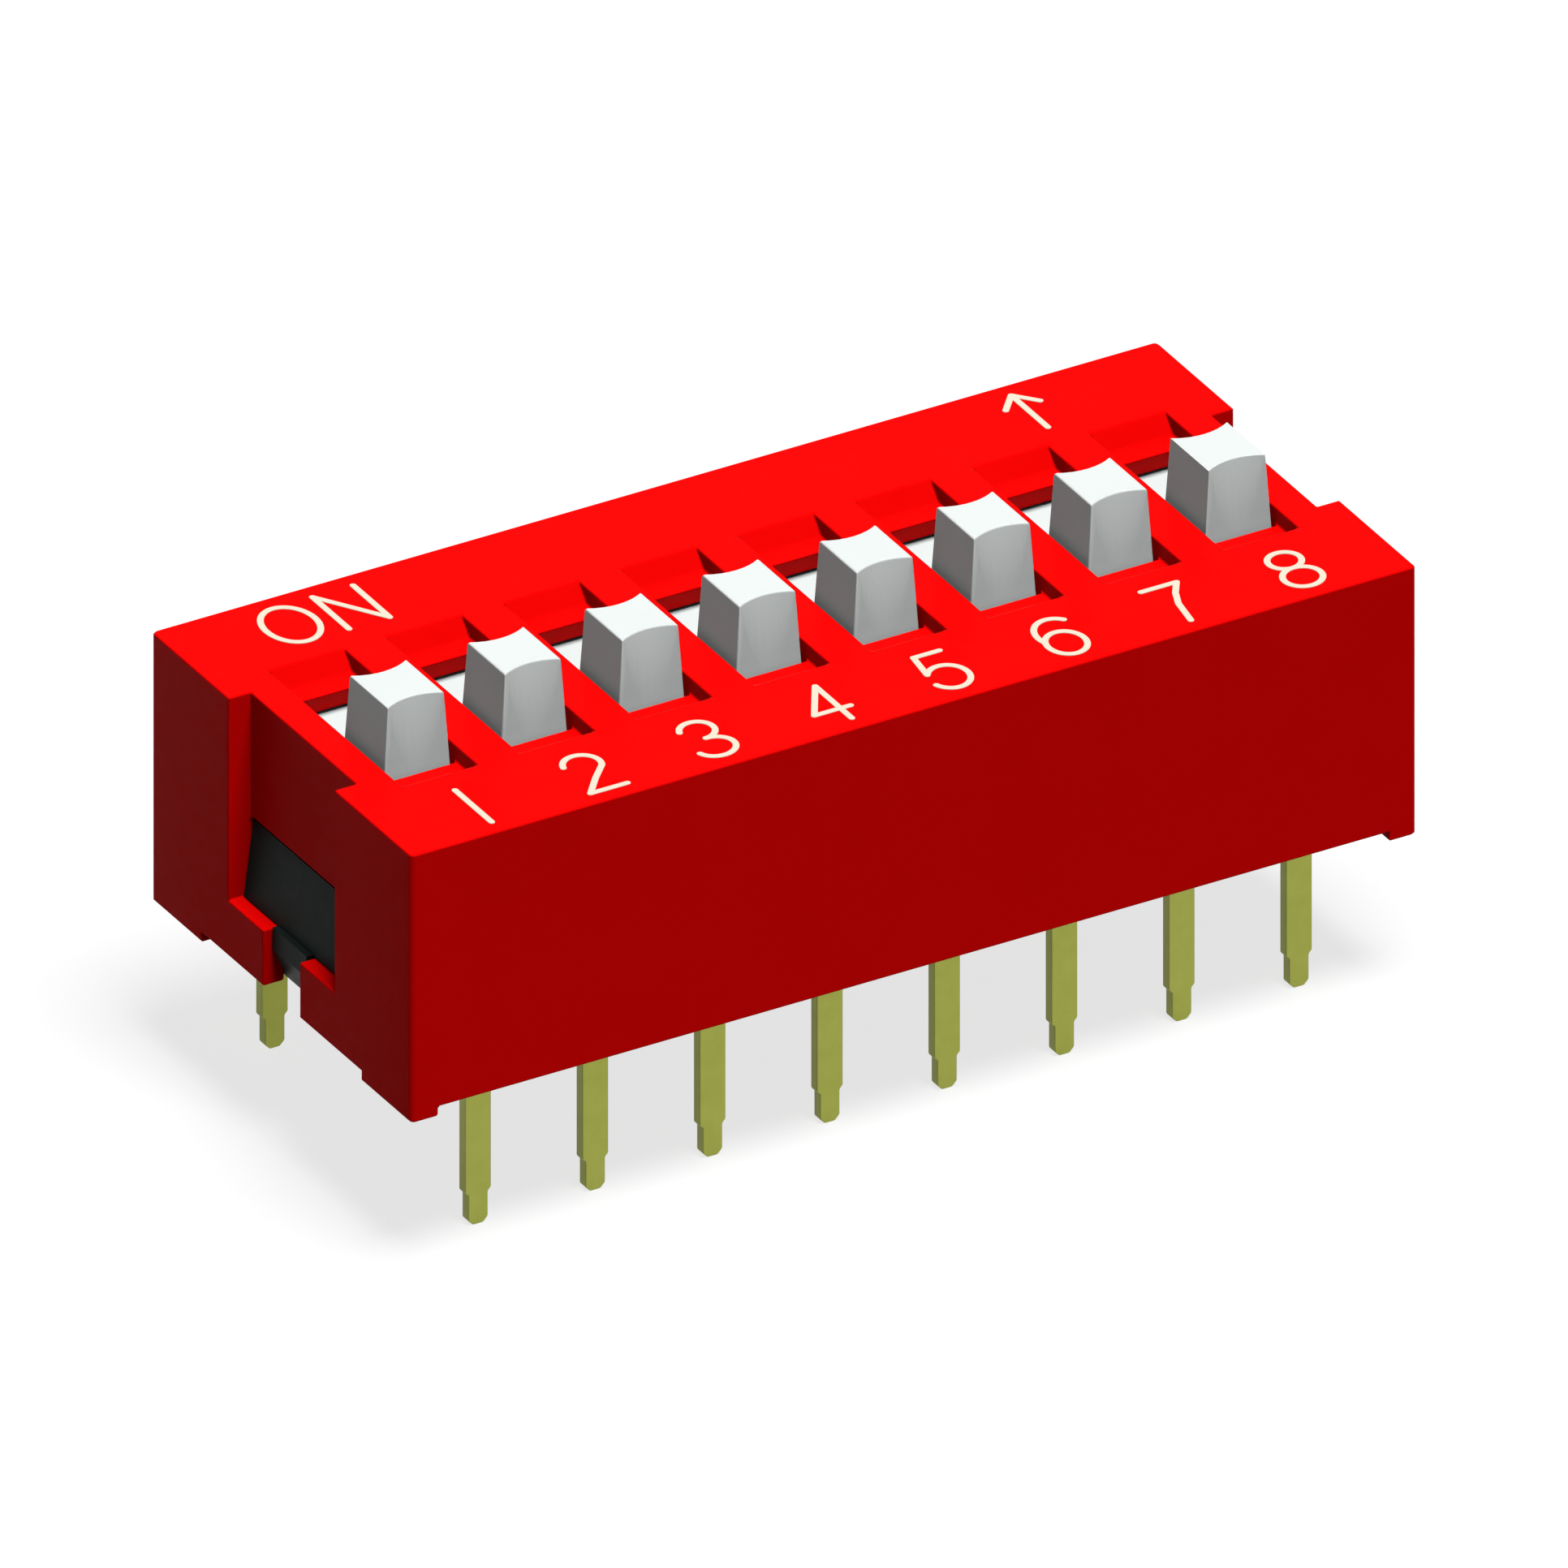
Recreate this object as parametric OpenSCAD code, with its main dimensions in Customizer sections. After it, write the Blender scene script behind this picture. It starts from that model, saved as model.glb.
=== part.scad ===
// Eight-position slide DIP switch: a moulded housing snapped over an insert-moulded base,
// one slider and one bridging contact per position, and two rows of through-hole terminals.
// The origin is the centre of the plane that the housing's feet stand on. X runs along the
// row of positions, +Y points to the ON side and +Z points up.

/* [Row] */
// Number of switch positions
positions = 8; // [2:1:12]
// Distance between neighbouring positions
pitch = 2.54; // [2.5:0.01:3]
// Distance between the two rows of terminals
row_gap = 7.62; // [7.4:0.01:8]

/* [Housing] */
// Width of the housing across the rows
body_w = 9.76; // [9.6:0.01:10.6]
// Height of the top face above the feet
body_top = 5.8; // [5.6:0.05:7]
// Thickness of the top wall
top_wall = 0.8; // [0.6:0.05:1]
// Thickness of the long side walls
side_wall = 0.6; // [0.45:0.01:0.65]
// Thickness of the end walls
end_wall = 1.0; // [0.85:0.01:1.4]
// Radius of the upright outer edges
edge_r = 0.12; // [0.05:0.01:0.3]
// Height of the corner feet, which hold the rim off the board
foot_h = 0.2; // [0.1:0.01:0.3]
// Length of a foot across the rows
foot_w = 1.9; // [1:0.05:2.4]
// Length of a foot along the row
foot_l = 0.6; // [0.4:0.05:0.8]

/* [Slots] */
// Depth of the recess that surrounds each slot
recess_depth = 0.34; // [0.2:0.01:0.45]
// Length of the flat shelf beyond each end of a slot
shelf_l = 0.49; // [0.2:0.01:0.6]
// Slope of the ends of the recess, in degrees
recess_slope = 45; // [40:1:60]
// Distance that each end of a slot leans back on its way in, which keeps a slider from binding
end_lean = 0.18; // [0:0.02:0.2]

/* [End latches] */
// Width of the recess in each end face
latch_w = 3.95; // [3:0.05:4.8]
// Depth of that recess
latch_depth = 0.48; // [0.4:0.01:0.6]
// Height of the ledge that the base's lug hooks over
ledge_z = 1.42; // [1:0.02:1.6]
// Width of the notch that parts the ledge in two
notch_w = 1.35; // [1:0.05:2]
// Reach of the lug over the ledge
lug_reach = 0.17; // [0.1:0.01:0.22]
// Reach of the key that stands in the notch
key_reach = 0.3; // [0.25:0.01:0.38]
// Height of the key's upright face
key_h = 0.45; // [0.2:0.05:0.6]

/* [Base] */
// Depth of the base's underside inside the rim
base_inset = 0.07; // [0.03:0.01:0.2]
// Height of the base's floor, which carries the contact pads, above the feet
base_top = 3.1; // [2.9:0.05:3.3]
// Thickness of the plastic outside a row of legs
leg_cover = 0.305; // [0.2:0.005:0.4]

/* [Sliders] */
// Travel of a slider from OFF to ON
travel = 1.75; // [1.4:0.05:1.9]
// Width of the post's top
post_w = 1.22; // [1:0.01:1.4]
// Length of the post's top, along its travel
post_l = 1.45; // [1.2:0.01:1.6]
// Height of the post above the top face
post_h = 1.17; // [0.5:0.01:2]
// Draft of the post's two sides, in degrees
side_draft = 4; // [1:0.5:5]
// Draft of the post's front and back faces, in degrees
face_draft = 1.5; // [0.5:0.5:5]
// Radius of the hollow in the post's front and back faces
grip_r = 1.15; // [0.9:0.05:2]
// Overlap of the carriage under the top wall, on each side of its slot
carriage_lip = 0.14; // [0.1:0.01:0.2]
// Thickness of the carriage's plate
plate_t = 0.75; // [0.5:0.05:0.9]
// Thickness of the carriage's side skirts
skirt_t = 0.2; // [0.15:0.01:0.3]

/* [Contacts] */
// Thickness of the contact strip
strip_t = 0.1; // [0.08:0.01:0.14]
// Width of the slit that parts each arm in two fingers
slit_w = 0.2; // [0.1:0.05:0.3]
// Distance between the two touching points of a contact
span = 2.6; // [2.3:0.05:2.8]
// Rise of the turned-up tips, which is also the run of each bend at a touching point
tip_rise = 0.2; // [0.15:0.01:0.25]
// Radius of the stake that holds the contact on its carriage
stake_r = 0.2; // [0.15:0.01:0.25]
// Radius of the stake's flattened head
head_r = 0.34; // [0.3:0.01:0.4]

/* [Terminals] */
// Width of a terminal's leg, along the row
leg_w = 0.56; // [0.4:0.01:0.7]
// Thickness of the terminal strip
leg_t = 0.25; // [0.2:0.01:0.35]
// Reach of the legs below the feet
leg_reach = 3.2; // [2.5:0.05:4]
// Length of the narrow tip of a leg
tip_l = 0.72; // [0.5:0.02:1]
// Width of the narrow tip
tip_w = 0.42; // [0.36:0.01:0.5]
// Inner radius of the fold between a leg and its pad
fold_r = 0.2; // [0.1:0.01:0.4]
// Width of the contact pad
pad_w = 1.3; // [1.1:0.05:1.45]
// Length of pad beyond the point where a contact touches it
pad_spare = 0.3; // [0.2:0.05:0.4]

/* [Clearances] */
// Gap between a post and the sides of its slot
slot_gap = 0.06; // [0.03:0.01:0.1]
// Gap between a carriage and the walls that guide it
run_gap = 0.05; // [0.03:0.01:0.08]
// Gap between a slider and its stops at each end of the travel
stop_gap = 0.04; // [0.03:0.01:0.1]
// Gap between the base and the housing
base_gap = 0.04; // [0.02:0.01:0.08]
// Gap between a contact and the skirts beside it
strip_gap = 0.2; // [0.1:0.01:0.3]
// Gap between a contact and the pads it slides on
touch_gap = 0.03; // [0.02:0.01:0.05]
// Gap round the metal that is moulded or staked into plastic
insert_gap = 0.01; // [0.005:0.005:0.02]

/* [Hidden] */
$fn = 48;
eps = 0.01;

// Sliders: the post tapers upwards, and its foot sets the slot that it passes through
ceiling = body_top - top_wall;
plate_top = ceiling - run_gap;
plate_z = plate_top - plate_t;
post_top = body_top + post_h;
post_foot_w = post_w + 2 * (post_top - plate_top) * tan(side_draft);
post_foot_l = post_l + 2 * (post_top - plate_top) * tan(face_draft);
slot_w = post_foot_w + 2 * slot_gap;
slot_l = post_foot_l + travel + 2 * stop_gap;
carriage_w = slot_w + 2 * carriage_lip;

// Channels that the carriages run in, side by side over the base's pocket
channel_w = carriage_w + 2 * run_gap;
cavity_l = (positions - 1) * pitch + channel_w;
cavity_w = body_w - 2 * side_wall;
body_l = cavity_l + 2 * end_wall;
carriage_l = cavity_w - travel - 2 * stop_gap;

// Latches: the ledges stand in the outer part of each end wall
end_x = body_l / 2;
ledge_x = end_x - latch_depth;

// Base: it covers both rows of legs, and the housing's pocket wraps it
base_bottom = foot_h + base_inset;
base_l = cavity_l - 2 * base_gap;
base_w = row_gap + leg_t + 2 * leg_cover;
pocket_w = base_w + 2 * base_gap;

// Pads: each ends a little past the point where a contact touches it at ON
front_pad_end = travel / 2 - span / 2 + pad_spare;
back_pad_end = travel / 2 + span / 2 - pad_spare;
fold_z = base_top - leg_t - fold_r;

strip_w = carriage_w - 2 * skirt_t - 2 * strip_gap;

function slot_x(i) = (i - (positions + 1) / 2) * pitch;

// Terminals are numbered round the switch: up the front row and back along the rear row
function is_front(i) = i <= positions;
function terminal_x(i) = is_front(i) ? slot_x(i) : slot_x(2 * positions + 1 - i);

// A box given by its low and high corners
module block(low, high) {
    translate(low)
        cube(high - low);
}

// An outline in the Y-Z plane drawn out along X, centred on the plane X = 0
module along_x(length) {
    translate([-length / 2, 0, 0])
        rotate([90, 0, 90])
            linear_extrude(height = length)
                children();
}

// An outline in the X-Z plane drawn out along Y, centred on the plane Y = 0
module along_y(length) {
    translate([0, length / 2, 0])
        rotate([90, 0, 0])
            linear_extrude(height = length)
                children();
}

// ---- Housing ----

module body_outline() {
    square([body_l - 2 * edge_r, body_w], center = true);
    square([body_l, body_w - 2 * edge_r], center = true);
    for (x = [-1, 1], y = [-1, 1])
        translate([x * (body_l / 2 - edge_r), y * (body_w / 2 - edge_r)])
            circle(edge_r);
}

// The outer block on its four corner feet
module housing_shell() {
    translate([0, 0, foot_h])
        linear_extrude(height = body_top - foot_h)
            body_outline();
    intersection() {
        linear_extrude(height = foot_h + eps)
            body_outline();
        for (x = [-1, 1], y = [-1, 1])
            translate([x * (end_x - foot_l / 2), y * (body_w / 2 - foot_w / 2), foot_h / 2])
                cube([foot_l, foot_w, foot_h + 2 * eps], center = true);
    }
}

// The channel of one carriage, between the ceiling and the base's floor
module channel() {
    block([-channel_w / 2, -cavity_w / 2, base_top - eps], [channel_w / 2, cavity_w / 2, ceiling]);
}

// The slot through the top wall, with the shallow recess that surrounds it
module slot() {
    shelf_z = body_top - recess_depth;
    end_y = slot_l / 2;
    flat_y = end_y + shelf_l;
    rim_y = flat_y + recess_depth / tan(recess_slope);
    right = [
        [end_y + end_lean, ceiling - eps],
        [end_y, shelf_z],
        [flat_y, shelf_z],
        [rim_y, body_top],
        [rim_y, body_top + eps]
    ];
    left = [for (i = [len(right) - 1:-1:0]) [-right[i][0], right[i][1]]];
    along_x(slot_w)
        polygon(concat(right, left));
}

// The recess in one end face, the window behind it and the notch in the ledge below
module latch_recess() {
    block([ledge_x, -latch_w / 2, ledge_z], [end_x + eps, latch_w / 2, body_top + eps]);
    block([cavity_l / 2 - eps, -latch_w / 2, -eps], [ledge_x + eps, latch_w / 2, base_top]);
    block([ledge_x, -notch_w / 2, -eps], [end_x + eps, notch_w / 2, ledge_z + eps]);
}

module housing() {
    color("red")
        difference() {
            housing_shell();
            block([-cavity_l / 2, -pocket_w / 2, -eps], [cavity_l / 2, pocket_w / 2, base_top + run_gap]);
            for (i = [1:positions])
                translate([slot_x(i), 0, 0]) {
                    channel();
                    slot();
                }
            latch_recess();
            mirror([1, 0, 0])
                latch_recess();
        }
}

// ---- Base ----

// The tongue that fills one latch window from inside, with the lug that hooks over the ledge
// and the key that slopes out into the notch
module latch_tongue() {
    face = ledge_x - base_gap;
    root = base_l / 2 - eps;
    hook_z = ledge_z + base_gap;
    along_y(latch_w - 2 * base_gap)
        polygon([
            [root, base_bottom],
            [face, base_bottom],
            [face, hook_z],
            [ledge_x + lug_reach, hook_z],
            [face, base_top - base_gap],
            [root, base_top - base_gap]
        ]);
    along_y(notch_w - 2 * base_gap)
        polygon([
            [root, base_bottom],
            [face, base_bottom],
            [ledge_x + key_reach, hook_z - key_h],
            [ledge_x + key_reach, hook_z],
            [root, hook_z]
        ]);
}

module base() {
    color([0.1, 0.14, 0.13])
        difference() {
            union() {
                block([-base_l / 2, -base_w / 2, base_bottom], [base_l / 2, base_w / 2, base_top]);
                latch_tongue();
                mirror([1, 0, 0])
                    latch_tongue();
            }
            for (i = [1:2 * positions])
                place_terminal(i)
                    terminal_form(i, insert_gap, eps);
        }
}

// ---- Sliders ----

// A post's outline, from its foot on the plate to its top
module post_outline(foot, top) {
    low = plate_top - eps;
    polygon([[-foot / 2, low], [foot / 2, low], [top / 2, post_top], [-top / 2, post_top]]);
}

// The post: a block with drafted sides, whose front and back faces are hollow
module post() {
    difference() {
        intersection() {
            along_y(2 * post_foot_l)
                post_outline(post_foot_w, post_w);
            along_x(2 * post_foot_w)
                post_outline(post_foot_l, post_l);
        }
        for (side = [-1, 1])
            grip(side);
    }
}

// The hollow in one face of the post: deepest at the top, it runs out at the recess's floor
module grip(side) {
    sag = grip_r - sqrt(grip_r * grip_r - post_w * post_w / 4);
    depth = post_h + recess_depth;
    translate([0, side * (post_l / 2 - sag + grip_r), post_top])
        rotate([side * (face_draft + atan(sag / depth)), 0, 0])
            translate([0, 0, -2 * depth])
                cylinder(r = grip_r, h = 3 * depth);
}

module actuator() {
    skirt_z = base_top + run_gap;
    color([0.95, 0.96, 0.95]) {
        post();
        block([-carriage_w / 2, -carriage_l / 2, plate_z], [carriage_w / 2, carriage_l / 2, plate_top]);
        for (x = [-1, 1])
            translate([x * (carriage_w - skirt_t) / 2, 0, (skirt_z + plate_z) / 2])
                cube([skirt_t, carriage_l, plate_z - skirt_z + eps], center = true);
        translate([0, 0, plate_z - strip_t - eps])
            cylinder(r = stake_r, h = strip_t + 2 * eps);
        translate([0, 0, plate_z - 2 * strip_t])
            cylinder(r = head_r, h = strip_t);
    }
}

// ---- Contacts ----

// One straight stretch of strip between two points of the Y-Z plane, with round ends
module strip_run(from, to) {
    run = to - from;
    translate(from)
        rotate([0, 0, atan2(run[1], run[0])])
            translate([0, -strip_t / 2])
                square([norm(run), strip_t]);
    for (end = [from, to])
        translate(end)
            circle(strip_t / 2);
}

// Half of the contact's outline: flat under the plate, an arm down to the pad, a turned-up tip
module contact_half() {
    top_z = plate_z - strip_t / 2;
    low_z = base_top + touch_gap + strip_t / 2;
    touch_y = span / 2;
    points = [
        [0, top_z],
        [0.45 * touch_y, top_z],
        [touch_y - tip_rise, low_z + tip_rise / 3],
        [touch_y, low_z],
        [touch_y + tip_rise, low_z + tip_rise / 3],
        [touch_y + 1.5 * tip_rise, low_z + tip_rise]
    ];
    for (i = [1:len(points) - 1])
        strip_run(points[i - 1], points[i]);
}

module contact() {
    color([0.85, 0.68, 0.3])
        difference() {
            along_x(strip_w)
                for (side = [0, 1])
                    mirror([side, 0])
                        contact_half();
            for (y = [-1, 1])
                translate([0, y * (head_r + slit_w + span / 2), 0])
                    cube([slit_w, span, 2 * plate_z], center = true);
            translate([0, 0, plate_z - 2 * strip_t])
                cylinder(r = stake_r + insert_gap, h = 3 * strip_t);
        }
}

// ---- Terminals ----

module place_terminal(i) {
    translate([terminal_x(i), 0, 0])
        mirror([0, is_front(i) ? 0 : 1, 0])
            children();
}

// The strip seen along the row: an upright leg, a round fold and a pad in the base's floor.
// gap widens it all round and over raises the pad's top, which makes it the cutter of its own seat.
module terminal_side(pad_end, gap, over) {
    leg_y = -row_gap / 2 - leg_t / 2;
    fold_y = leg_y + leg_t + fold_r;
    translate([leg_y - gap, -leg_reach])
        square([leg_t + 2 * gap, leg_reach + fold_z]);
    translate([fold_y, fold_z])
        intersection() {
            difference() {
                circle(fold_r + leg_t + gap);
                circle(fold_r - gap);
            }
            translate([-2 * row_gap, 0])
                square(2 * row_gap);
        }
    translate([fold_y, base_top - leg_t - gap])
        square([pad_end + gap - fold_y, leg_t + gap + over]);
}

// The strip seen from the front: a stepped leg with a narrow tip below, the wide pad above
module terminal_front(gap) {
    step_z = -leg_reach + tip_l;
    right = [
        [tip_w / 4, -leg_reach],
        [tip_w / 2, -leg_reach + tip_w / 4],
        [tip_w / 2, step_z - (leg_w - tip_w) / 2],
        [leg_w / 2 + gap, step_z],
        [leg_w / 2 + gap, fold_z - gap],
        [pad_w / 2 + gap, fold_z - gap],
        [pad_w / 2 + gap, base_top + 1]
    ];
    left = [for (i = [len(right) - 1:-1:0]) [-right[i][0], right[i][1]]];
    polygon(concat(right, left));
}

module terminal_form(i, gap = 0, over = 0) {
    pad_end = is_front(i) ? front_pad_end : -back_pad_end;
    intersection() {
        along_x(2 * pad_w)
            terminal_side(pad_end, gap, over);
        along_y(2 * row_gap)
            terminal_front(gap);
    }
}

module terminal(i) {
    color([0.68, 0.68, 0.34])
        place_terminal(i)
            terminal_form(i);
}

housing();
base();
for (i = [1:positions])
    translate([slot_x(i), -travel / 2, 0]) {
        actuator();
        contact();
    }
for (i = [1:2 * positions])
    terminal(i);
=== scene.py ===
"""Looks of the slide DIP switch: softened moulded edges, printed legends, materials, lights.

Everything is in metres in the part's own frame: X along the row of positions, +Y to the ON
side, +Z up, with the origin at the centre of the plane that the housing's feet stand on.
"""

import math

import bpy
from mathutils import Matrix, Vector
from mathutils.geometry import delaunay_2d_cdt


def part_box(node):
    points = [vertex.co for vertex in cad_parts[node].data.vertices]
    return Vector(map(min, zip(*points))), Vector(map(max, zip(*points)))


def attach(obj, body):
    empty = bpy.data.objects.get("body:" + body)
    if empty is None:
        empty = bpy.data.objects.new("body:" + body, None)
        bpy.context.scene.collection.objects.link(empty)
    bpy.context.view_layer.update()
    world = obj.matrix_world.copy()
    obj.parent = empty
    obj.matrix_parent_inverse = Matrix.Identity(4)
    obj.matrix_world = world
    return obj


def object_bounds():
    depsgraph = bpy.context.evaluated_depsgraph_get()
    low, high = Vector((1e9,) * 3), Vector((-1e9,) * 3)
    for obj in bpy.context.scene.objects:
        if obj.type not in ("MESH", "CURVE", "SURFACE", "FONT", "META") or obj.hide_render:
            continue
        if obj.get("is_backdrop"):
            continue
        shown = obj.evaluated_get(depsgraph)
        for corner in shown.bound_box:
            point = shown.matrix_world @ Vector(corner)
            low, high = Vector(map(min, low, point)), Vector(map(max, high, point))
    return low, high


MM = 0.001
POSITIONS = 8
WHITE = (1, 1, 1)

# Camera: a parallel projection, turned to the left of the front and raised
AZIMUTH = math.radians(-30)
ELEVATION = math.radians(30)
VIEW_WIDTH = 29.41 * MM
VIEW_CENTRE_Z = 1.79 * MM
CAMERA_DISTANCE = 200 * MM

# Edges: the small round that a mould or a stamping tool leaves
PLASTIC_EDGE = 0.04 * MM
METAL_EDGE = 0.02 * MM
EDGE_ANGLE = math.radians(35)
FLAT_ANGLE = math.radians(0.3)
WELD_GAP = 0.0001 * MM

# Patterns in the materials: sizes and depths are in millimetres
FLOW_SIZE = 1.6
GLOSS_SIZE = 0.35
WAVE_SIZE, WAVE_DEPTH = 2.5, 0.01
GRAIN_SIZE, GRAIN_DEPTH = 0.05, 0.002
MOTTLE_SIZE = 0.5
ROLLING_SIZE, ROLLING_DEPTH = 0.04, 0.0015
PATCH_SIZE = 0.12

# Greys that stand for the plastics' colours in the light that their neighbours take
DULL_GLOW = 0.09
WHITE_GLOW = 0.50

# Terminals: how dark the painted shade makes their sides that face along X, the sheared ones,
# beside their rolled faces
PAINTED_SIDE_SHADE = 0.6

# Ink: how dark it is where it is thin, and its finish
THIN_INK = 0.93
INK_GLOSS, INK_ROUGH = 0.5, 0.7
INK_SPECULAR = 0.2

# Legends: ink printed on the top face, in strokes of one width
LEGEND_HEIGHT = 1.50 * MM
STROKE_WIDTH = 0.125 * MM
LETTER_PITCH = 1.31 * MM
INK_THICKNESS = 0.012 * MM
INK_SINK = 0.004 * MM
DIGIT_X = -0.05 * MM
DIGIT_Y = -3.83 * MM
ON_X = -7.85 * MM
ARROW_X = 7.50 * MM
REAR_Y = 3.78 * MM

# Strokes: a curve's step in degrees, and the limit of a corner's mitre. Round ends are a little
# wider than their stroke, and corners are rounded to these decimals of a millimetre, so that
# no two edges lie nearly in one place when the strokes are united.
ARC_STEP = 9
MITRE_LIMIT = 0.5
END_GROWTH = 1.01
INK_DECIMALS = 5

# Stage: the floor's size, how much of its shadow shows on the white, and the greys with which
# the world and the floor light the part
FLOOR_RADIUS = 1.5
FLOOR_SIDES = 96
SHADOW_SHARE = 0.24
AMBIENT = 0.035
FLOOR_BOUNCE = 0.08

# Lights: where each comes from, the level that a white face turned to it shows, and its
# width in degrees
LIGHTS = {
    "key": ((0.01, -0.27, 0.963), 1.06, 22),
    "fill": ((0.0, 1.0, 0.05), 0.14, 20),
}

# Sockets of a Mix node that mixes colours
MIX_FACTOR, MIX_FIRST, MIX_SECOND, MIX_RESULT = 0, 6, 7, 2


# ---- Materials ----


def grey(level):
    """A colour with the same level of red, green and blue."""
    return (level, level, level)


def mixed(tree, factor, first, second, blend="MIX"):
    """The mix of two colours, each of which is a plain colour or a socket, by a factor."""
    mix = tree.nodes.new("ShaderNodeMix")
    mix.data_type = "RGBA"
    mix.blend_type = blend
    tree.links.new(factor, mix.inputs[MIX_FACTOR])
    for index, colour in ((MIX_FIRST, first), (MIX_SECOND, second)):
        if isinstance(colour, tuple):
            mix.inputs[index].default_value = (*colour, 1)
        else:
            tree.links.new(colour, mix.inputs[index])
    return mix.outputs[MIX_RESULT]


def new_material(name):
    """A material, its node tree, its Principled shader and a texture vector in millimetres."""
    material = bpy.data.materials.new(name)
    material.use_nodes = True
    tree = material.node_tree
    tree.nodes.clear()
    shader = tree.nodes.new("ShaderNodeBsdfPrincipled")
    output = tree.nodes.new("ShaderNodeOutputMaterial")
    tree.links.new(shader.outputs["BSDF"], output.inputs["Surface"])
    coordinates = tree.nodes.new("ShaderNodeTexCoord")
    scale = tree.nodes.new("ShaderNodeMapping")
    scale.inputs["Scale"].default_value = (1 / MM, 1 / MM, 1 / MM)
    tree.links.new(coordinates.outputs["Object"], scale.inputs["Vector"])
    return material, tree, shader, scale.outputs["Vector"]


def noise(tree, vector, size, detail=3.0, roughness=0.55, stretch=None):
    """Noise whose features are about size millimetres across, or longer where stretched."""
    if stretch is not None:
        mapping = tree.nodes.new("ShaderNodeMapping")
        mapping.inputs["Scale"].default_value = stretch
        tree.links.new(vector, mapping.inputs["Vector"])
        vector = mapping.outputs["Vector"]
    texture = tree.nodes.new("ShaderNodeTexNoise")
    texture.inputs["Scale"].default_value = 1 / size
    texture.inputs["Detail"].default_value = detail
    texture.inputs["Roughness"].default_value = roughness
    tree.links.new(vector, texture.inputs["Vector"])
    return texture.outputs["Fac"]


def between(tree, value, low, high):
    """A number that runs from low to high as the value runs from 0 to 1."""
    span = tree.nodes.new("ShaderNodeMapRange")
    span.inputs["To Min"].default_value = low
    span.inputs["To Max"].default_value = high
    tree.links.new(value, span.inputs["Value"])
    return span.outputs["Result"]


def bump(tree, height, depth, normal=None):
    """A bump of that depth in millimetres, on top of another one where normal is given."""
    node = tree.nodes.new("ShaderNodeBump")
    node.inputs["Distance"].default_value = depth * MM
    tree.links.new(height, node.inputs["Height"])
    if normal is not None:
        tree.links.new(normal, node.inputs["Normal"])
    return node.outputs["Normal"]


def calm_glow(tree, colour, glow):
    """The colour as it is seen, and a plain grey in the light that it lends to its neighbours.

    Without it the strong red of the housing tints the sliders pink.
    """
    path = tree.nodes.new("ShaderNodeLightPath")
    return mixed(tree, path.outputs["Is Diffuse Ray"], colour, grey(glow))


def moulded_plastic(name, dark, light, gloss, rough, specular, glow=None, tint=WHITE):
    """Moulded plastic: faint colour flow, an eroded mould's fine grain and slow waves.

    glow is the grey that stands for its colour in the light that its neighbours take.
    """
    material, tree, shader, vector = new_material(name)
    flow = noise(tree, vector, FLOW_SIZE, detail=4.0)
    colour = mixed(tree, flow, dark, light)
    if glow is not None:
        colour = calm_glow(tree, colour, glow)
    tree.links.new(colour, shader.inputs["Base Color"])
    worn = noise(tree, vector, GLOSS_SIZE)
    tree.links.new(between(tree, worn, gloss, rough), shader.inputs["Roughness"])
    shader.inputs["Specular IOR Level"].default_value = specular
    shader.inputs["Specular Tint"].default_value = (*tint, 1)
    wave = bump(tree, noise(tree, vector, WAVE_SIZE, detail=1.0), WAVE_DEPTH)
    fine = bump(tree, noise(tree, vector, GRAIN_SIZE, detail=2.0), GRAIN_DEPTH, wave)
    tree.links.new(fine, shader.inputs["Normal"])
    return material


def cut_sides(tree, colour, shade):
    """Painted shade: the colour, darkened to shade on the faces that look along X."""
    place = tree.nodes.new("ShaderNodeTexCoord")
    split = tree.nodes.new("ShaderNodeSeparateXYZ")
    size = tree.nodes.new("ShaderNodeMath")
    size.operation = "ABSOLUTE"
    tree.links.new(place.outputs["Normal"], split.inputs["Vector"])
    tree.links.new(split.outputs["X"], size.inputs["Value"])
    return mixed(tree, size.outputs["Value"], colour, grey(shade), blend="MULTIPLY")


def plated_strip(name, dark, light, gloss, rough, stretch, side_shade=1.0):
    """Plated rolled strip: metal with faint rolling lines along one axis, a mottled plating and
    painted shade on its sides.

    side_shade is how dark the painted shade makes its cut sides, which face along X.
    """
    material, tree, shader, vector = new_material(name)
    mottle = noise(tree, vector, MOTTLE_SIZE, detail=5.0, roughness=0.6)
    # Painted shade: the sides that face along X are darkened in the base colour.
    colour = cut_sides(tree, mixed(tree, mottle, dark, light), side_shade)
    tree.links.new(colour, shader.inputs["Base Color"])
    shader.inputs["Metallic"].default_value = 1.0
    lines = noise(tree, vector, ROLLING_SIZE, detail=2.0, stretch=stretch)
    tree.links.new(between(tree, lines, gloss, rough), shader.inputs["Roughness"])
    tree.links.new(bump(tree, lines, ROLLING_DEPTH), shader.inputs["Normal"])
    return material


def printed_ink(name, colour):
    """Pad-printed ink: matt, a little uneven, and thinner here and there."""
    material, tree, shader, vector = new_material(name)
    patches = noise(tree, vector, PATCH_SIZE, detail=4.0)
    thin = tuple(THIN_INK * part for part in colour)
    tree.links.new(mixed(tree, patches, thin, colour), shader.inputs["Base Color"])
    tree.links.new(between(tree, patches, INK_GLOSS, INK_ROUGH), shader.inputs["Roughness"])
    shader.inputs["Specular IOR Level"].default_value = INK_SPECULAR
    grain = bump(tree, noise(tree, vector, GRAIN_SIZE), GRAIN_DEPTH)
    tree.links.new(grain, shader.inputs["Normal"])
    return material


# ---- Edges and surfaces of the CAD pieces ----


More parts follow.
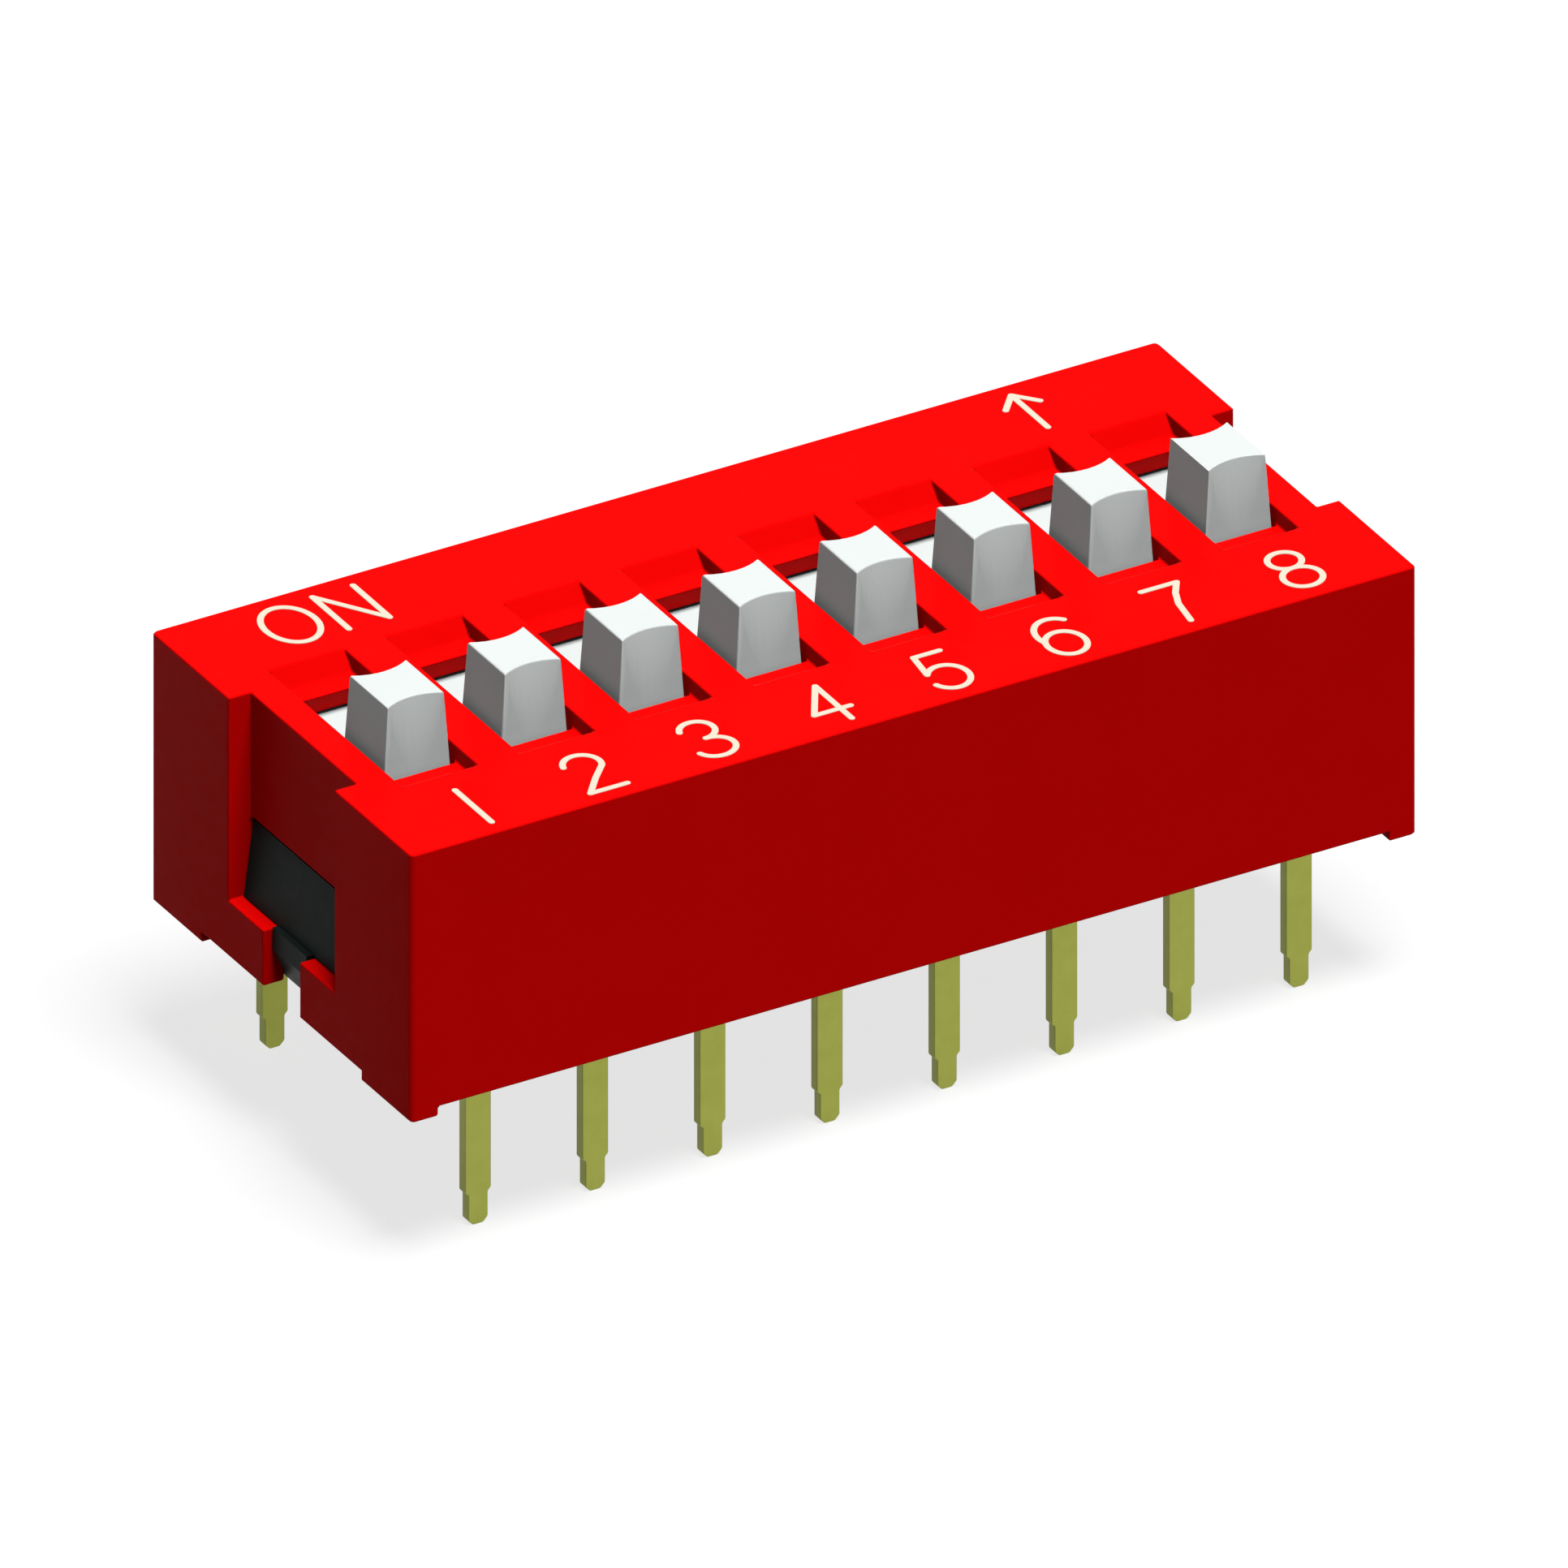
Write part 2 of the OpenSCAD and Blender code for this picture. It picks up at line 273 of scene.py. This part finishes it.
def soften(node, radius):
    """Breaks a CAD node's edges by modifiers, which leave the node's own mesh as it is.

    The faces keep the exact normals of the CAD surfaces, so each narrow edge strip runs
    smoothly from the normal of one face to that of the other, as a small round does.
    """
    exact = bpy.data.objects.new(f"{node.name}_normals", node.data)
    weld = node.modifiers.new("weld", "WELD")
    weld.merge_threshold = WELD_GAP
    flats = node.modifiers.new("flats", "DECIMATE")
    flats.decimate_type = "DISSOLVE"
    flats.angle_limit = FLAT_ANGLE
    edges = node.modifiers.new("edges", "BEVEL")
    edges.width = radius
    edges.segments = 1
    edges.limit_method = "ANGLE"
    edges.angle_limit = EDGE_ANGLE
    edges.loop_slide = False
    normals = node.modifiers.new("normals", "DATA_TRANSFER")
    normals.object = exact
    normals.use_object_transform = False
    normals.use_loop_data = True
    normals.data_types_loops = {"CUSTOM_NORMAL"}
    normals.loop_mapping = "POLYINTERP_NEAREST"


def finish_node(node, material, radius):
    """Gives a CAD node its material and, where a radius is given, its broken edges."""
    node.data.materials.clear()
    node.data.materials.append(material)
    if radius is not None:
        soften(node, radius)


# ---- Legends ----


def arc(x, y, width, height, start, end):
    """Points along an ellipse of those half sizes, from one angle to another in degrees."""
    steps = max(2, round(abs(end - start) / ARC_STEP))
    angles = [math.radians(start + (end - start) * i / steps) for i in range(steps + 1)]
    return [(x + width * math.cos(a), y + height * math.sin(a)) for a in angles]


# Centre lines of each sign's strokes, where 1 is the height between its top and bottom ones
BOWL_OF_5 = arc(0, 0.32, 0.29, 0.32, 146, -158)
SIGNS = {
    "1": [[(0, 0), (0, 1)]],
    "2": [
        arc(0, 0.73, 0.27, 0.27, 168, -28) + [(-0.02, 0.33), (-0.29, 0)],
        [(-0.29, 0), (0.29, 0)],
    ],
    "3": [arc(-0.02, 0.76, 0.25, 0.24, 165, -90), arc(-0.02, 0.26, 0.29, 0.26, 90, -165)],
    "4": [[(0.13, 0), (0.13, 1)], [(0.13, 1), (-0.28, 0.31)], [(-0.28, 0.31), (0.29, 0.31)]],
    "5": [[(0.24, 1), (-0.17, 1)], [(-0.17, 1), BOWL_OF_5[0]], BOWL_OF_5],
    "6": [arc(0, 0.32, 0.28, 0.32, 0, 360), arc(0.05, 0.60, 0.33, 0.40, 45, 200)],
    "7": [[(-0.28, 1), (0.28, 1)], [(0.28, 1), (0.12, 0.75), (0.01, 0.48), (-0.07, 0)]],
    "8": [arc(0, 0.27, 0.28, 0.27, 0, 360), arc(0, 0.77, 0.24, 0.23, 0, 360)],
    "O": [arc(0, 0.5, 0.38, 0.5, 0, 360)],
    "N": [[(-0.32, 0), (-0.32, 1)], [(-0.32, 1), (0.32, 0)], [(0.32, 0), (0.32, 1)]],
    "^": [[(0, 0), (0, 1)], [(0, 1), (-0.27, 0.68)], [(0, 1), (0.27, 0.68)]],
}


def offsets(points, closed):
    """The two sides of a stroke: its centre line moved to the left and to the right."""
    steps = [(end - start).normalized() for start, end in zip(points, points[1:] + points[:1])]
    if not closed:
        steps[-1] = steps[-2]
    left, right = [], []
    for i, point in enumerate(points):
        before = steps[i - 1] if i or closed else steps[i]
        middle = (before + steps[i]).normalized()
        reach = STROKE_WIDTH / 2 / max(MITRE_LIMIT, middle.dot(steps[i]))
        side = Vector((-middle.y, middle.x)) * reach
        left.append(point + side)
        right.append(point - side)
    return left, right


def round_end(centre):
    """A disc over a stroke's end, which is the same for every stroke that ends there."""
    radius = END_GROWTH * STROKE_WIDTH / 2
    return [Vector(point) for point in arc(centre.x, centre.y, radius, radius, 0, 360)[:-1]]


def stroke_patches(points):
    """A stroke as flat anticlockwise patches, with round ends unless it closes on itself."""
    closed = (points[0] - points[-1]).length < WELD_GAP
    if closed:
        points = points[:-1]
    left, right = offsets(points, closed)
    patches = []
    for i in range(len(points) if closed else len(points) - 1):
        j = (i + 1) % len(points)
        patches.append([left[i], points[i], right[i], right[j], points[j], left[j]])
    if not closed:
        patches += [round_end(points[0]), round_end(points[-1])]
    return patches


def ink_mesh(patches):
    """The union of overlapping flat patches, raised to one thin closed solid."""
    corners, outlines = [], []
    for patch in patches:
        outlines.append(list(range(len(corners), len(corners) + len(patch))))
        corners += [[round(part / MM, INK_DECIMALS) for part in corner] for corner in patch]
    points, _, triangles, _, _, sources = delaunay_2d_cdt(
        corners, [], outlines, 0, WELD_GAP / MM
    )
    inked = [triangle for triangle, source in zip(triangles, sources) if source]
    edges = [(t[i - 1], t[i]) for t in inked for i in range(3)]
    known = set(edges)
    rim = [(start, end) for start, end in edges if (end, start) not in known]
    count = len(points)
    levels = (INK_THICKNESS, -INK_SINK)
    vertices = [(point.x * MM, point.y * MM, z) for z in levels for point in points]
    faces = inked + [[i + count for i in reversed(triangle)] for triangle in inked]
    faces += [(end, start, start + count, end + count) for start, end in rim]
    mesh = bpy.data.meshes.new("ink")
    mesh.from_pydata(vertices, [], faces)
    return mesh


def print_legend(name, text, x, y, material):
    """Printed signs, centred on (x, y), as one thin solid that lies on the housing's top."""
    height = LEGEND_HEIGHT - STROKE_WIDTH
    patches = []
    for i, sign in enumerate(text):
        left = x + (i - (len(text) - 1) / 2) * LETTER_PITCH
        for stroke in SIGNS[sign]:
            points = [Vector((left + u * height, y + (v - 0.5) * height)) for u, v in stroke]
            patches += stroke_patches(points)
    mesh = ink_mesh(patches)
    mesh.materials.append(material)
    piece = bpy.data.objects.new(name, mesh)
    piece.location.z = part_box("housing")[1].z
    bpy.context.scene.collection.objects.link(piece)
    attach(piece, "case")


# ---- Stage ----


def seen_ray(tree):
    """1 for the rays that the background is shown to: camera, glossy and transmission rays."""
    path = tree.nodes.new("ShaderNodeLightPath")
    total = path.outputs["Is Camera Ray"]
    for name in ("Is Glossy Ray", "Is Transmission Ray"):
        either = tree.nodes.new("ShaderNodeMath")
        either.operation = "MAXIMUM"
        tree.links.new(total, either.inputs[0])
        tree.links.new(path.outputs[name], either.inputs[1])
        total = either.outputs["Value"]
    return total


def make_floor(z):
    """A white floor that keeps the part's shadow, and throws little light back on the part."""
    bpy.ops.mesh.primitive_circle_add(
        vertices=FLOOR_SIDES, radius=FLOOR_RADIUS, fill_type="NGON", location=(0, 0, z)
    )
    floor = bpy.context.object
    floor.name = "floor"
    material = bpy.data.materials.new("pale_floor")
    material.use_nodes = True
    tree = material.node_tree
    tree.nodes.clear()
    lit = tree.nodes.new("ShaderNodeBsdfDiffuse")
    lit.inputs["Color"].default_value = (*WHITE, 1)
    plain = tree.nodes.new("ShaderNodeEmission")
    shown = tree.nodes.new("ShaderNodeMixShader")
    shown.inputs["Fac"].default_value = SHADOW_SHARE
    tree.links.new(plain.outputs["Emission"], shown.inputs[1])
    tree.links.new(lit.outputs["BSDF"], shown.inputs[2])
    bounced = tree.nodes.new("ShaderNodeBsdfDiffuse")
    bounced.inputs["Color"].default_value = (*grey(FLOOR_BOUNCE), 1)
    surface = tree.nodes.new("ShaderNodeMixShader")
    tree.links.new(seen_ray(tree), surface.inputs["Fac"])
    tree.links.new(bounced.outputs["BSDF"], surface.inputs[1])
    tree.links.new(shown.outputs["Shader"], surface.inputs[2])
    output = tree.nodes.new("ShaderNodeOutputMaterial")
    tree.links.new(surface.outputs["Shader"], output.inputs["Surface"])
    floor.data.materials.append(material)
    floor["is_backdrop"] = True


def make_world():
    """A world that is seen as white, and lights the part from all sides only a little."""
    world = bpy.data.worlds.new("studio")
    bpy.context.scene.world = world
    world.use_nodes = True
    tree = world.node_tree
    tree.nodes.clear()
    background = tree.nodes.new("ShaderNodeBackground")
    colour = mixed(tree, seen_ray(tree), grey(AMBIENT), WHITE)
    tree.links.new(colour, background.inputs["Color"])
    output = tree.nodes.new("ShaderNodeOutputWorld")
    tree.links.new(background.outputs["Background"], output.inputs["Surface"])


def soft_light(name, direction, level, spread):
    """A broad distant light: a white face turned to it shows that level of brightness."""
    light = bpy.data.lights.new(name, "SUN")
    light.angle = math.radians(spread)
    light.energy = level * math.pi
    lamp = bpy.data.objects.new(name, light)
    bpy.context.scene.collection.objects.link(lamp)
    lamp.rotation_euler = Vector(direction).to_track_quat("Z", "Y").to_euler()


def make_camera():
    """The photograph's camera, which looks at a point on the part's upright centre line."""
    data = bpy.data.cameras.new("camera")
    data.type = "ORTHO"
    data.ortho_scale = VIEW_WIDTH
    camera = bpy.data.objects.new("camera", data)
    bpy.context.scene.collection.objects.link(camera)
    back = Vector((
        math.sin(AZIMUTH) * math.cos(ELEVATION),
        -math.cos(AZIMUTH) * math.cos(ELEVATION),
        math.sin(ELEVATION),
    ))
    camera.location = Vector((0, 0, VIEW_CENTRE_Z)) + back * CAMERA_DISTANCE
    camera.rotation_euler = back.to_track_quat("Z", "Y").to_euler()
    bpy.context.scene.camera = camera


# ---- The scene ----

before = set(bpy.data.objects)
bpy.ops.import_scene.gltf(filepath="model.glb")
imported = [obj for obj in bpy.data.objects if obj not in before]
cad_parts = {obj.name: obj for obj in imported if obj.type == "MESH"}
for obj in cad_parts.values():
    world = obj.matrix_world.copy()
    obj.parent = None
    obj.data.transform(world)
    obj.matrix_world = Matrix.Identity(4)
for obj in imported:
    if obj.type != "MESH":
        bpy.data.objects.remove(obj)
cad_low, cad_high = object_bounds()

red = moulded_plastic(
    "housing_red", dark=(0.93, 0.001, 0.001), light=(0.99, 0.002, 0.002),
    gloss=0.38, rough=0.52, specular=0.02, glow=DULL_GLOW, tint=(1, 0.1, 0.1),
)
black = moulded_plastic(
    "base_black", dark=(0.007, 0.011, 0.010), light=(0.013, 0.019, 0.017),
    gloss=0.4, rough=0.55, specular=0.04,
)
white = moulded_plastic(
    "actuator_white", dark=(0.83, 0.88, 0.865), light=(0.89, 0.935, 0.92),
    gloss=0.35, rough=0.5, specular=0.06, glow=WHITE_GLOW,
)
gold = plated_strip(
    "contact_gold", dark=(0.75, 0.52, 0.16), light=(0.85, 0.62, 0.22),
    gloss=0.25, rough=0.4, stretch=(1, 0.1, 1),
)
# The terminals' sides that face along X get a painted shade.
olive = plated_strip(
    "terminal_metal", dark=(0.29, 0.31, 0.055), light=(0.35, 0.38, 0.08),
    gloss=0.3, rough=0.5, stretch=(1, 1, 0.1), side_shade=PAINTED_SIDE_SHADE,
)
ink = printed_ink("legend_ink", (0.95, 0.85, 0.68))

FINISHES = {
    "housing": (red, PLASTIC_EDGE),
    "base": (black, None),
    "actuator": (white, PLASTIC_EDGE),
    "contact": (gold, None),
    "terminal": (olive, METAL_EDGE),
}
for name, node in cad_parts.items():
    finish_node(node, *FINISHES[name.split("_")[0]])

for i in range(1, POSITIONS + 1):
    low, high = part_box(f"actuator_{i}")
    print_legend(f"legend_{i}", str(i), (low.x + high.x) / 2 + DIGIT_X, DIGIT_Y, ink)
print_legend("legend_on", "ON", ON_X, REAR_Y, ink)
print_legend("legend_arrow", "^", ARROW_X, REAR_Y, ink)

make_floor(cad_low.z)
make_world()
for name, (direction, level, spread) in LIGHTS.items():
    soft_light(name, direction, level, spread)
make_camera()
bpy.context.scene.view_settings.view_transform = "Standard"

low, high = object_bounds()
